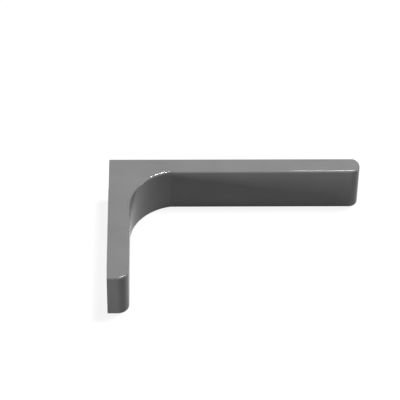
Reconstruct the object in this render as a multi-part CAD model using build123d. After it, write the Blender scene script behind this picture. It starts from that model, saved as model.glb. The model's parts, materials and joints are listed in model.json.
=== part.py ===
"""Shelf bracket: a pressed steel channel bent into an L, and the moulded cover that hides it.

Millimetres. +X runs out from the wall under the shelf, +Y points at the shelf and Z crosses
the bracket, which lies on its side. The origin is the centre of the wall screws, on the wall.
Inside this script every piece is drawn from the corner where wall and shelf meet.
"""

from build123d import *
import math
import os

# Steel channel
channel_long = 168.6      # wall to the end of the shelf arm
channel_short = 105.0     # shelf to the end of the wall arm
channel_width = 25.0
sheet = 2.5
long_flange = 10.2        # flange depth on the shelf arm, from the shelf
short_flange = 11.6       # flange depth on the wall arm, from the wall
elbow_radius = 25.0       # outside of the bent web
crotch_radius = 15.0      # inside corner of the flanges
bend_radius = 3.0         # outside of the bends from the web into flanges and end lips
shelf_lip = 3.2           # depth of the end lip on the shelf arm, where its corners are cut
wall_lip = 4.6            # the same on the wall arm

# Screw holes, each measured to its centre
screw_hole = 6.5
inner_shelf_screw = 54.5  # from the wall
outer_shelf_screw = 21.6  # from the end of the shelf arm
inner_wall_screw = 42.0   # from the shelf
outer_wall_screw = 23.0   # from the end of the wall arm

# Moulded cover, and the spaces that it leaves round the channel
cover_wall = 2.2
side_space = 2.8          # on each side of the channel
under_space = 1.3         # under the flanges of the shelf arm
front_space = 1.7         # in front of the flanges of the wall arm
nose_space = 9.2          # past the end of the shelf arm
foot_space = 12.8         # below the end of the wall arm
rim_gap = 0.5             # rim set back, so that the steel meets wall and shelf first
curve_radius = 36.0       # concave inner corner
curve_sweep = 78.7        # degrees that the curve turns before it meets the shelf arm
crease_radius = 5.0       # soft crease where they meet
nose_radius = 8.0         # nose of the shelf arm, from its front up to the rim
nose_rise = 6.0           # height of that round
nose_low_radius = 6.5     # nose of the shelf arm, under side
foot_radius = 8.0         # front edge of the foot
corner_radius = 1.0       # outer corner between wall and shelf
edge_radius = 1.5         # edges round the visible faces

# Ribs inside the cover
rib_thickness = 1.5
rib_setback = 2.0         # ribs stop short of the rim
rib_pitch = 26.0          # widest space between ribs
rib_clearance = 0.2       # between the ribs and the channel

overlap = 1.0             # how far cutters run past what they cut

# Sizes that follow from those above
shelf_screws = (inner_shelf_screw, channel_long - outer_shelf_screw)
wall_screws = (inner_wall_screw, channel_short - outer_wall_screw)
wall_screw_centre = sum(wall_screws) / len(wall_screws)
cover_long = channel_long + nose_space + cover_wall
cover_short = channel_short + foot_space + cover_wall
cover_width = channel_width + 2 * (side_space + cover_wall)
long_depth = long_flange + under_space + cover_wall      # shelf to the underside of the arm
short_depth = short_flange + front_space + cover_wall    # wall to the front of the arm
curve_drop = long_depth + curve_radius * math.sin(math.radians(curve_sweep))
shelf_cut = long_flange - shelf_lip                      # 45 degree corner cut at the shelf end
wall_cut = short_flange - wall_lip                       # and at the wall end


def polygon(*points):
    """A face inside straight lines between the points."""
    return Sketch() + make_face(Polyline(*points, close=True))


def rectangle(x_from, x_to, y_from, y_to):
    """A rectangle between two X and two Y values."""
    return polygon((x_from, y_from), (x_to, y_from), (x_to, y_to), (x_from, y_to))


def slab(sketch, width):
    """A sketch thickened to the given width, half on each side of the middle plane."""
    return extrude(sketch, amount=width / 2, both=True)


def round_corner(sketch, corner, radius):
    """The sketch with the corner nearest to a point rounded."""
    vertex = sketch.vertices().sort_by_distance(Vector(*corner))[0]
    return fillet(vertex, radius)


def side_edges(solid):
    """The edges round the two flat side faces, which are the lowest and the highest."""
    sides = solid.faces().sort_by(Axis.Z)
    return sides[0].edges() + sides[-1].edges()


# ---------------------------------------------------------------- steel channel


def pressed_plate(inset):
    """A plate that spans the whole L, rounded all round, with its skin moved in by the inset."""
    right, foot = channel_long - inset, inset - channel_short
    elbow, shelf_end, wall_end = (inset, -inset), (right, -inset), (inset, foot)
    outline = polygon(elbow, shelf_end, (right, foot), wall_end)
    outline = round_corner(outline, elbow, elbow_radius - inset)
    outline = round_corner(outline, shelf_end, bend_radius - inset)
    outline = round_corner(outline, wall_end, bend_radius - inset)
    plate = slab(outline, channel_width - 2 * inset)
    return fillet(side_edges(plate), bend_radius - inset)


def flange_outline():
    """The L that is kept of the plate: its inner edge is the free edge of the flanges."""
    crotch = (short_flange, -long_flange)
    past_shelf_end = channel_long + overlap
    past_wall_end = -(channel_short + overlap)
    outline = polygon(
        (-overlap, overlap),
        (past_shelf_end, overlap),
        (past_shelf_end, overlap - shelf_lip),
        (channel_long - shelf_cut, -long_flange),
        crotch,
        (short_flange, wall_cut - channel_short),
        (wall_lip - overlap, past_wall_end),
        (-overlap, past_wall_end),
    )
    return round_corner(outline, crotch, crotch_radius)


def make_channel():
    """The pressed channel: web outside, a flange on each side and a low lip at each end."""
    body = pressed_plate(0) & slab(flange_outline(), channel_width)
    body -= pressed_plate(sheet)
    punch = Cylinder(screw_hole / 2, 2 * (sheet + overlap))
    for x in shelf_screws:
        body -= Pos(x, 0, 0) * Rot(90, 0, 0) * punch
    for y in wall_screws:
        body -= Pos(0, -y, 0) * Rot(0, 90, 0) * punch
    return body


# ---------------------------------------------------------------- moulded cover


def cover_outline():
    """The L of the cover, with its concave inner corner and rounded nose and foot."""
    front = rim_gap + nose_rise
    nose_rim_x = cover_long - nose_radius + math.sqrt(nose_radius**2 - nose_rise**2)
    crease_x = short_depth + curve_radius * (1 - math.cos(math.radians(curve_sweep)))
    nose_rim, nose_front = (nose_rim_x, -rim_gap), (cover_long, -front)
    nose_low = (cover_long, -long_depth)
    crease, curve_foot = (crease_x, -long_depth), (short_depth, -curve_drop)
    foot_front, foot_back = (short_depth, -cover_short), (rim_gap, -cover_short)
    outer_corner = (rim_gap, -rim_gap)
    edges = [
        RadiusArc(nose_rim, nose_front, nose_radius),
        Polyline(nose_front, nose_low, crease),
        RadiusArc(crease, curve_foot, -curve_radius),
        Polyline(curve_foot, foot_front, foot_back, outer_corner, nose_rim),
    ]
    outline = Sketch() + make_face(edges)
    outline = round_corner(outline, nose_low, min(nose_low_radius, 0.95 * (long_depth - front)))
    outline = round_corner(outline, crease, crease_radius)
    outline = round_corner(outline, foot_front, foot_radius)
    return round_corner(outline, outer_corner, corner_radius)


def cover_hollow(outline):
    """The outline of the space inside the cover, open at the wall and at the shelf."""
    inside = offset(outline, amount=-cover_wall)
    deep = rim_gap + cover_wall + overlap
    shelf_side = rectangle(-overlap, cover_long - nose_radius, -deep, overlap)
    wall_side = rectangle(-overlap, deep, cover_wall - cover_short, overlap)
    return inside + shelf_side + wall_side


def spread(start, end):
    """Evenly spread places between two ends, no further apart than the rib pitch."""
    count = math.ceil((end - start) / rib_pitch)
    return [start + (end - start) * i / count for i in range(count + 1)]


def make_ribs(hollow):
    """Thin U-shaped ribs that hold the channel in the middle of the cover."""
    half = rib_thickness / 2
    rim = rim_gap + rib_setback
    shelf_places = spread(short_depth + curve_radius, channel_long - shelf_cut - rib_thickness)
    wall_places = spread(curve_drop, channel_short - wall_cut - rib_thickness)
    bars = [rectangle(x - half, x + half, -long_depth, -rim) for x in shelf_places]
    bars += [rectangle(rim, short_depth, -y - half, -y + half) for y in wall_places]
    seat = slab(offset(flange_outline(), amount=rib_clearance), channel_width + 2 * rib_clearance)
    width = cover_width - 2 * cover_wall
    return [slab(bar & hollow, width) - seat for bar in bars]


def make_cover():
    """The moulded cover: a closed L-shaped tray, open towards wall and shelf."""
    outline = cover_outline()
    block = slab(outline, cover_width)
    seen = [
        edge
        for edge in side_edges(block)
        if (edge @ 0.5).X > rim_gap + corner_radius and (edge @ 0.5).Y < -rim_gap - corner_radius
    ]
    hollow = cover_hollow(outline)
    cover = fillet(seen, edge_radius) - slab(hollow, cover_width - 2 * cover_wall)
    for rib in make_ribs(hollow):
        cover += rib
    return cover


os.makedirs("parts", exist_ok=True)
to_wall_screws = Pos(0, wall_screw_centre, 0)
for name, make in {"steel_channel": make_channel, "moulded_cover": make_cover}.items():
    export_step(to_wall_screws * make(), f"parts/{name}.step")
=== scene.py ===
"""Looks of the shelf bracket: a zinc-plated steel channel under a glossy moulded cover.

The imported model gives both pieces, which keep their own shapes. This script gives them their
finishes, models the small marks that moulding and punching leave on them, and sets up a plain
studio with a camera that looks down on the bracket as it lies on its side.
"""

import json
import logging
import math
from collections.abc import Callable
from dataclasses import dataclass, field
from enum import Enum

import bmesh
import bpy
from mathutils import Matrix, Vector

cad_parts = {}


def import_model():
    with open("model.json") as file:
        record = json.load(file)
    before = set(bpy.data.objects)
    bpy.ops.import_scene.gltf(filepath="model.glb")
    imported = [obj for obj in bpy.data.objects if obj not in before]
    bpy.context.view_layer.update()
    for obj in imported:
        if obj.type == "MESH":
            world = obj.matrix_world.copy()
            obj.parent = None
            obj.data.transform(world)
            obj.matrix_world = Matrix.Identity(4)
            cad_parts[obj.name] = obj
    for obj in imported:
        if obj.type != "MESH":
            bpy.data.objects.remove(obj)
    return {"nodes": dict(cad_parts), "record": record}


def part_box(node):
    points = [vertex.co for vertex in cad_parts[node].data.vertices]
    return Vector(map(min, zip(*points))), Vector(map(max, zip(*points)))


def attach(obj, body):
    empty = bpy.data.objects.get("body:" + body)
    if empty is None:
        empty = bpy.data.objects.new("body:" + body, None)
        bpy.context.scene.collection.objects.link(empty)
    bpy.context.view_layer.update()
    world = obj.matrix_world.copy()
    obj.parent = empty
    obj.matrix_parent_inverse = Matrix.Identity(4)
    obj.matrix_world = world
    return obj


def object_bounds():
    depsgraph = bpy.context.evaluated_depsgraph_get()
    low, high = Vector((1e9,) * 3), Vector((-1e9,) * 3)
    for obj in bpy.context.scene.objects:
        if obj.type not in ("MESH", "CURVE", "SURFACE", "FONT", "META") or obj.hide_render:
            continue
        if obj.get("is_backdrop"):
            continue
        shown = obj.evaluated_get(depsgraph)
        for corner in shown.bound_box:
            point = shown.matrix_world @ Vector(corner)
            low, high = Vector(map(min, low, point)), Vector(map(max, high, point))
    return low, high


logging.basicConfig(level=logging.INFO, format="%(levelname)s %(message)s")
LOG = logging.getLogger("shelf_bracket")

MM_PER_M = 1000

# A face counts as looking along an axis when its normal points that way by at least this much.
FACING = 0.9
SMOOTH_ANGLE = math.radians(30)


class Finish(Enum):
    """The finishes that the record names."""

    ZINC = "zinc_steel"
    PLASTIC = "grey_plastic"


# ------------------------------------------------------------------ materials


@dataclass(frozen=True)
class Grain:
    """A noise pattern: its features to the metre, its finer octaves and its stretch."""

    scale: float
    detail: float
    stretch: tuple[float, float, float] = (1, 1, 1)


class NodeSheet:
    """A material's node tree, with short ways to add nodes and to join them.

    A noise pattern hardly leaves the middle of its range, so patterns are spread from there.
    """

    VALUE_RANGE = (0.3, 0.7)
    COLOUR_RANGE = (0.35, 0.65)
    COOL_TINT = 1.01
    EDGE_SAMPLES = 6

    def __init__(self, name: str) -> None:
        """Starts a new material with a principled shader.

        Args:
            name: the material's name.
        """
        self.material = bpy.data.materials.new(name)
        self.material.use_nodes = True
        self.tree = self.material.node_tree
        self.shader = self.tree.nodes["Principled BSDF"]
        self.position = self.add("ShaderNodeTexCoord").outputs["Object"]

    def add(self, kind: str, **settings: object) -> bpy.types.Node:
        """Adds a node and sets its properties.

        Args:
            kind: Blender's name for the node type.
            settings: properties of the node, by name.

        Returns:
            The new node.
        """
        node = self.tree.nodes.new(kind)
        for key, value in settings.items():
            setattr(node, key, value)
        return node

    def join(self, source: bpy.types.NodeSocket, target: bpy.types.NodeSocket) -> None:
        """Joins an output to an input."""
        self.tree.links.new(source, target)

    def noise(self, grain: Grain) -> bpy.types.NodeSocket:
        """Adds a noise pattern on object coordinates.

        Args:
            grain: how fine, how detailed and how stretched it is.

        Returns:
            The output that holds the pattern.
        """
        mapping = self.add("ShaderNodeMapping")
        mapping.inputs["Scale"].default_value = grain.stretch
        pattern = self.add("ShaderNodeTexNoise")
        pattern.inputs["Scale"].default_value = grain.scale
        pattern.inputs["Detail"].default_value = grain.detail
        self.join(self.position, mapping.inputs["Vector"])
        self.join(mapping.outputs["Vector"], pattern.inputs["Vector"])
        return pattern.outputs["Fac"]

    def between(
        self, pattern: bpy.types.NodeSocket, low: float, high: float
    ) -> bpy.types.NodeSocket:
        """Maps a pattern to a range of values.

        Args:
            pattern: the pattern.
            low: the value where the pattern is low.
            high: the value where the pattern is high.

        Returns:
            The output that holds the values.
        """
        node = self.add("ShaderNodeMapRange")
        self.join(pattern, node.inputs["Value"])
        ends = ("From Min", "From Max", "To Min", "To Max")
        for name, value in zip(ends, (*self.VALUE_RANGE, low, high)):
            node.inputs[name].default_value = value
        return node.outputs["Result"]

    def colour(self, pattern: bpy.types.NodeSocket, dark: float, light: float) -> None:
        """Colours the shader with greys that follow a pattern.

        Args:
            pattern: the pattern.
            dark: the grey where the pattern is low.
            light: the grey where the pattern is high.
        """
        ramp = self.add("ShaderNodeValToRGB")
        for element, place, grey in zip(
            ramp.color_ramp.elements, self.COLOUR_RANGE, (dark, light)
        ):
            element.position = place
            element.color = (grey, grey, grey * self.COOL_TINT, 1)
        self.join(pattern, ramp.inputs["Fac"])
        self.join(ramp.outputs["Color"], self.shader.inputs["Base Color"])

    def soft_edges(self, radius: float) -> bpy.types.NodeSocket:
        """Softens the edges a little, as plating or a mould's polish does.

        Args:
            radius: the radius of the softened edges in metres.

        Returns:
            The output that holds the normal.
        """
        node = self.add("ShaderNodeBevel", samples=self.EDGE_SAMPLES)
        node.inputs["Radius"].default_value = radius
        return node.outputs["Normal"]

    def bump(
        self, height: bpy.types.NodeSocket, depth: float, after: bpy.types.NodeSocket | None = None
    ) -> bpy.types.NodeSocket:
        """Adds a bump.

        Args:
            height: the pattern that gives the height.
            depth: the height of the pattern in metres.
            after: the normal of a bump that lies under this one.

        Returns:
            The output that holds the normal.
        """
        node = self.add("ShaderNodeBump")
        node.inputs["Distance"].default_value = depth
        self.join(height, node.inputs["Height"])
        if after is not None:
            self.join(after, node.inputs["Normal"])
        return node.outputs["Normal"]


@dataclass(frozen=True)
class MouldedPlastic:
    """Glossy grey plastic with a faint flow mottle and the orange peel of a polished mould."""

    grey: float = 0.2
    mottle: float = 0.01
    flow: Grain = Grain(38, 3, (1, 1, 1.6))
    roughness: float = 0.1
    smoother: float = 0.03
    rougher: float = 0.07
    polish: Grain = Grain(140, 4)
    ior: float = 1.5
    peel: Grain = Grain(700, 2)
    peel_depth: float = 0.000012
    edge_round: float = 0.00025

    def material(self) -> bpy.types.Material:
        """Builds the material.

        Returns:
            The material.
        """
        sheet = NodeSheet("moulded_grey_plastic")
        sheet.colour(sheet.noise(self.flow), self.grey - self.mottle, self.grey + self.mottle)
        gloss = sheet.between(
            sheet.noise(self.polish), self.roughness - self.smoother, self.roughness + self.rougher
        )
        sheet.join(gloss, sheet.shader.inputs["Roughness"])
        sheet.shader.inputs["IOR"].default_value = self.ior
        edges = sheet.soft_edges(self.edge_round)
        peel = sheet.bump(sheet.noise(self.peel), self.peel_depth, edges)
        sheet.join(peel, sheet.shader.inputs["Normal"])
        return sheet.material


@dataclass(frozen=True)
class ZincSteel:
    """Steel sheet under zinc plating, slightly cloudy, with fine rolling lines along the arms."""

    grey: float = 0.56
    cloud: float = 0.03
    clouds: Grain = Grain(110, 6)
    roughness: float = 0.34
    smoother: float = 0.07
    rougher: float = 0.12
    plating: Grain = Grain(320, 5)
    dents: Grain = Grain(70, 1)
    dent_depth: float = 0.00001
    rolling: Grain = Grain(1500, 2, (0.05, 0.05, 1))
    line_depth: float = 0.000006
    edge_round: float = 0.0004

    def material(self) -> bpy.types.Material:
        """Builds the material.

        Returns:
            The material.
        """
        sheet = NodeSheet("zinc_plated_steel")
        sheet.colour(sheet.noise(self.clouds), self.grey - self.cloud, self.grey + self.cloud)
        sheet.shader.inputs["Metallic"].default_value = 1.0
        gloss = sheet.between(
            sheet.noise(self.plating), self.roughness - self.smoother, self.roughness + self.rougher
        )
        sheet.join(gloss, sheet.shader.inputs["Roughness"])
        edges = sheet.soft_edges(self.edge_round)
        dents = sheet.bump(sheet.noise(self.dents), self.dent_depth, edges)
        lines = sheet.bump(sheet.noise(self.rolling), self.line_depth, dents)
        sheet.join(lines, sheet.shader.inputs["Normal"])
        return sheet.material


# ------------------------------------------------------------------ studio


@dataclass
class Softbox:
    """A rectangular lamp that faces the middle of the shelf arm."""

    name: str
    place: Vector
    width: float
    height: float
    watts: float
    aim: Vector = field(default_factory=lambda: Vector((0.09, 0, 0)))

    def build(self) -> bpy.types.Object:
        """Adds the lamp.

        Returns:
            The lamp's object.
        """
        bpy.ops.object.light_add(type="AREA", location=self.place)
        lamp = bpy.context.object
        lamp.name = self.name
        lamp.data.shape = "RECTANGLE"
        lamp.data.size = self.width
        lamp.data.size_y = self.height
        lamp.data.energy = self.watts
        lamp.rotation_mode = "QUATERNION"
        lamp.rotation_quaternion = (self.aim - self.place).to_track_quat("-Z", "Y")
        return lamp


@dataclass
class Studio:
    """A white floor under soft lamps, and the camera.

    The floor and the room look white but light the object little. `glow` is how bright the floor
    looks to the camera, `room` how strongly the room lights the object, and `reflected` how much
    of their whiteness a reflection keeps.
    """

    floor_z: float
    floor_side: float = 12.0
    floor_grey: float = 0.15
    glow: float = 0.87
    room: float = 0.08
    reflected: float = 0.62
    aim: Vector = field(default_factory=lambda: Vector((0.06595, 0.0563, 0)))
    distance: float = 1.4886
    yaw: float = math.radians(1.6413)
    pitch: float = math.radians(43.2335)
    roll: float = math.radians(0.9649)
    lens: float = 184.084
    near: float = 0.01

    def build(self) -> None:
        """Adds the floor, the room, the lamps and the camera."""
        self.add_floor()
        self.add_room()
        self.add_lamps()
        self.add_camera()

    def seen(self, tree: bpy.types.NodeTree) -> bpy.types.NodeSocket:
        """Tells the rays that show the background from those that light the object.

        Args:
            tree: the node tree that asks.

        Returns:
            An output that is 1 for camera rays, somewhat less for glossy and transmission rays
            and 0 for all others.
        """
        path = tree.nodes.new("ShaderNodeLightPath")
        most = path.outputs["Is Camera Ray"]
        for other in ("Is Glossy Ray", "Is Transmission Ray"):
            dimmed = self.combine(tree, "MULTIPLY", path.outputs[other], self.reflected)
            most = self.combine(tree, "MAXIMUM", most, dimmed)
        return most

    def combine(
        self,
        tree: bpy.types.NodeTree,
        operation: str,
        first: bpy.types.NodeSocket,
        second: bpy.types.NodeSocket | float,
    ) -> bpy.types.NodeSocket:
        """Adds a node that works out one value from two.

        Args:
            tree: the node tree that it goes into.
            operation: Blender's name for what is worked out.
            first: the first value.
            second: the second value, an output or a number.

        Returns:
            The output that holds the result.
        """
        node = tree.nodes.new("ShaderNodeMath")
        node.operation = operation
        tree.links.new(first, node.inputs[0])
        if isinstance(second, bpy.types.NodeSocket):
            tree.links.new(second, node.inputs[1])
        else:
            node.inputs[1].default_value = second
        return node.outputs[0]

    def add_floor(self) -> None:
        """Adds a pale floor that glows to the camera and keeps the object's shadow."""
        bpy.ops.mesh.primitive_plane_add(size=self.floor_side, location=(0, 0, self.floor_z))
        floor = bpy.context.object
        floor.name = "floor"
        material = bpy.data.materials.new("pale floor")
        material.use_nodes = True
        tree = material.node_tree
        shader = tree.nodes["Principled BSDF"]
        shader.inputs["Base Color"].default_value = (self.floor_grey,) * 3 + (1,)
        shader.inputs["Roughness"].default_value = 1.0
        shader.inputs["Specular IOR Level"].default_value = 0.0
        glow = self.combine(tree, "MULTIPLY", self.seen(tree), self.glow)
        tree.links.new(glow, shader.inputs["Emission Strength"])
        shader.inputs["Emission Color"].default_value = (1, 1, 1, 1)
        floor.data.materials.append(material)
        floor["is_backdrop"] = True

    def add_room(self) -> None:
        """Adds a dim room round the object, white where the camera or a reflection sees it."""
        world = bpy.data.worlds.new("room")
        bpy.context.scene.world = world
        world.use_nodes = True
        tree = world.node_tree
        light = tree.nodes["Background"]
        light.inputs["Color"].default_value = (1, 1, 1, 1)
        strength = tree.nodes.new("ShaderNodeMapRange")
        strength.inputs["To Min"].default_value = self.room
        strength.inputs["To Max"].default_value = 1.0
        tree.links.new(self.seen(tree), strength.inputs["Value"])
        tree.links.new(strength.outputs["Result"], light.inputs["Strength"])

    def add_lamps(self) -> None:
        """Adds the main lamp above, on the right, and a weak one low on each side."""
        top = Vector((0.42, 0.26, 1.42))
        left = Vector((-1.35, -0.7, 0.13))
        right = Vector((1.5, -0.12, 0.5))
        Softbox("top_lamp", top, width=0.22, height=0.36, watts=23.5).build()
        Softbox("low_left_lamp", left, width=0.5, height=0.24, watts=16).build()
        Softbox("low_right_lamp", right, width=0.4, height=0.4, watts=3.5).build()

    def add_camera(self) -> None:
        """Adds the camera, which looks down on the bracket from the side of its inner corner."""
        ahead = Vector((
            math.sin(self.yaw) * math.cos(self.pitch),
            math.cos(self.yaw) * math.cos(self.pitch),
            -math.sin(self.pitch),
        ))
        right = Vector((math.cos(self.yaw), -math.sin(self.yaw), 0))
        up = right.cross(ahead)
        turn = Matrix((right, up, -ahead)).transposed().to_4x4()
        tilt = Matrix.Rotation(self.roll, 4, "Z")
        target = Vector((self.aim.x, self.aim.y, self.floor_z))
        place = Matrix.Translation(target - ahead * self.distance)
        camera = bpy.data.objects.new("camera", bpy.data.cameras.new("camera"))
        bpy.context.scene.collection.objects.link(camera)
        camera.matrix_world = place @ turn @ tilt
        camera.data.lens = self.lens
        camera.data.clip_start = self.near
        bpy.context.scene.camera = camera


# ------------------------------------------------------------------ modelling


def deselect() -> None:
    """Deselects every object."""
    bpy.ops.object.select_all(action="DESELECT")


def pick(piece: bpy.types.Object, wanted: Callable[[bmesh.types.BMFace], bool]) -> None:
    """Selects faces of the piece in edit mode and deselects the others.

    Args:
        piece: the piece, which is in edit mode.
        wanted: says of a face whether it is selected.
    """
    bpy.ops.mesh.select_mode(type="FACE")
    bpy.ops.mesh.select_all(action="DESELECT")
    mesh = bmesh.from_edit_mesh(piece.data)
    for face in mesh.faces:
        face.select_set(wanted(face))
    bmesh.update_edit_mesh(piece.data)


def settle(piece: bpy.types.Object, place: Vector, ahead: Vector) -> None:
    """Turns a piece that was modelled upright at the origin and moves it into place.

    The turn and the move end up in its mesh.

    Args:
        piece: the piece.
        place: where its origin goes.
        ahead: where its upward axis then points.
    """
    piece.rotation_mode = "QUATERNION"
    piece.rotation_quaternion = ahead.to_track_quat("Z", "Y")
    piece.location = place
    deselect()
    piece.select_set(True)
    bpy.context.view_layer.objects.active = piece
    bpy.ops.object.transform_apply(location=True, rotation=True, scale=True)
    bpy.ops.object.shade_smooth_by_angle(angle=SMOOTH_ANGLE)


@dataclass
class HoleBurr:
    """The low rim that a punch raises round a hole where it leaves the sheet.

    It stands `rise` above the sheet and reaches `sunk` into it. `crest_in` and `crest_up` shape
    its narrow top, as shares of its width and its rise.
    """

    hole: float
    width: float = 0.00045
    rise: float = 0.00016
    sunk: float = 0.0001
    crest_in: float = 0.3
    crest_up: float = 0.4
    sides: int = 48

    def build(self, name: str, place: Vector, ahead: Vector) -> bpy.types.Object:
        """Models one rim.

        Args:
            name: the piece's name.
            place: the centre of the hole on the sheet's face.
            ahead: the way that the face looks.

        Returns:
            The rim.
        """
        deselect()
        tall = self.rise + self.sunk
        bpy.ops.mesh.primitive_cylinder_add(
            vertices=self.sides,
            radius=self.hole + self.width,
            depth=tall,
            location=(0, 0, tall / 2 - self.sunk),
        )
        rim = bpy.context.object
        rim.name = name
        bpy.ops.object.transform_apply(location=True, rotation=False, scale=False)
        bpy.ops.object.mode_set(mode="EDIT")
        pick(rim, lambda face: abs(face.normal.z) > FACING)
        bpy.ops.mesh.inset(thickness=self.width, use_individual=True)
        bpy.ops.mesh.bridge_edge_loops()
        pick(rim, lambda face: face.normal.z > FACING)
        bpy.ops.mesh.inset(
            thickness=self.width * self.crest_in, depth=self.rise * self.crest_up
        )
        bpy.ops.object.mode_set(mode="OBJECT")
        settle(rim, place, ahead)
        return rim


@dataclass
class EjectorMark:
    """The round witness that an ejector pin leaves on the inside of a moulding.

    It stands `rise` above the wall and reaches `sunk` into it. `slope_in` and `slope_down` shape
    the step inside its rim, as shares of the rim's width and of the rise.
    """

    radius: float = 0.0022
    rise: float = 0.00012
    sunk: float = 0.0001
    rim: float = 0.0003
    slope_in: float = 0.4
    slope_down: float = 0.6
    sides: int = 32

    def build(self, name: str, place: Vector, ahead: Vector) -> bpy.types.Object:
        """Models one mark, a low disc with a sunk middle.

        Args:
            name: the piece's name.
            place: the middle of the mark on the wall.
            ahead: the way that the wall looks.

        Returns:
            The mark.
        """
        deselect()
        tall = self.rise + self.sunk
        bpy.ops.mesh.primitive_cylinder_add(
            vertices=self.sides,
            radius=self.radius,
            depth=tall,
            location=(0, 0, tall / 2 - self.sunk),
        )
        mark = bpy.context.object
        mark.name = name
        bpy.ops.object.transform_apply(location=True, rotation=False, scale=False)
        bpy.ops.object.mode_set(mode="EDIT")
        pick(mark, lambda face: face.normal.z > FACING)
        bpy.ops.mesh.inset(thickness=self.rim)
        bpy.ops.mesh.inset(
            thickness=self.rim * self.slope_in, depth=-self.rise * self.slope_down
        )
        bpy.ops.object.mode_set(mode="OBJECT")
        settle(mark, place, ahead)
        return mark


# ------------------------------------------------------------------ pieces


@dataclass
class Piece:
    """A sub-assembly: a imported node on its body, and the marks that ride with it."""

    node: bpy.types.Object
    body: str
    finish: Finish
    marks: list[bpy.types.Object] = field(default_factory=list)

    def dress(self, material: bpy.types.Material) -> None:
        """Gives the node and its marks their finish and lets the marks ride.

        Args:
            material: the finish.
        """
        self.node.material_slots[0].material = material
        for mark in self.marks:
            mark.data.materials.append(material)
            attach(mark, self.body)
        for piece in (self.node, *self.marks):
            LOG.info("%s: %d faces, %s", piece.name, len(piece.data.polygons), self.finish.value)


@dataclass
class Channel(Piece):
    """The pressed steel channel and the rims round its punched holes."""

    sheet: float = 0.0025

    def build(self, record: dict) -> None:
        """Models the rim of each screw hole, at the places that the record's mounts give.

        Args:
            record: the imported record.
        """
        mounts = {mount["name"]: mount for mount in record["mounts"]}
        for name in ("shelf_screws", "wall_screws"):
            centre = Vector(mounts[name]["pos_m"])
            ahead = Vector(mounts[name]["axis"])
            along = Vector((1, 0, 0)) if abs(ahead.y) > abs(ahead.x) else Vector((0, 1, 0))
            half = mounts[name]["dims"]["spacing_x_mm"] / 2 / MM_PER_M
            burr = HoleBurr(hole=mounts[name]["dims"]["hole_r_mm"] / MM_PER_M)
            hole = name.removesuffix("s")
            for number, side in enumerate((-1, 1), 1):
                place = centre + along * half * side + ahead * self.sheet
                self.marks.append(burr.build(f"{hole}_burr_{number}", place, ahead))


@dataclass
class Cover(Piece):
    """The moulded cover and the ejector marks inside it, each midway between two ribs."""

    wall: float = 0.0022
    mark_inset: float = 0.0075
    mark_pitch: float = 0.0217
    first_mark: float = 0.0624

    def build(self) -> None:
        """Models a row of ejector marks on the inner side of both walls of the shelf arm."""
        low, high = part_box(self.node.name)
        count = int((high.x - self.first_mark) / self.mark_pitch)
        height = (high.z - low.z) / 2 - self.wall
        for side, name in ((-1, "low"), (1, "high")):
            inward = Vector((0, 0, -side))
            for number in range(count):
                along = self.first_mark + number * self.mark_pitch
                place = Vector((along, high.y - self.mark_inset, side * height))
                title = f"ejector_mark_{name}_{number + 1}"
                self.marks.append(EjectorMark().build(title, place, inward))


def main() -> None:
    """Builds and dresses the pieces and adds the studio."""
    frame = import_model()
    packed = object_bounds()
    deselect()
    bpy.context.scene.view_settings.view_transform = "Standard"
    channel = Channel(frame["nodes"]["steel_channel"], "channel", Finish.ZINC)
    channel.build(frame["record"])
    channel.dress(ZincSteel().material())
    cover = Cover(frame["nodes"]["moulded_cover"], "cover", Finish.PLASTIC)
    cover.build()
    cover.dress(MouldedPlastic().material())
    Studio(floor_z=packed[0].z).build()


if __name__ == "__main__":
    main()
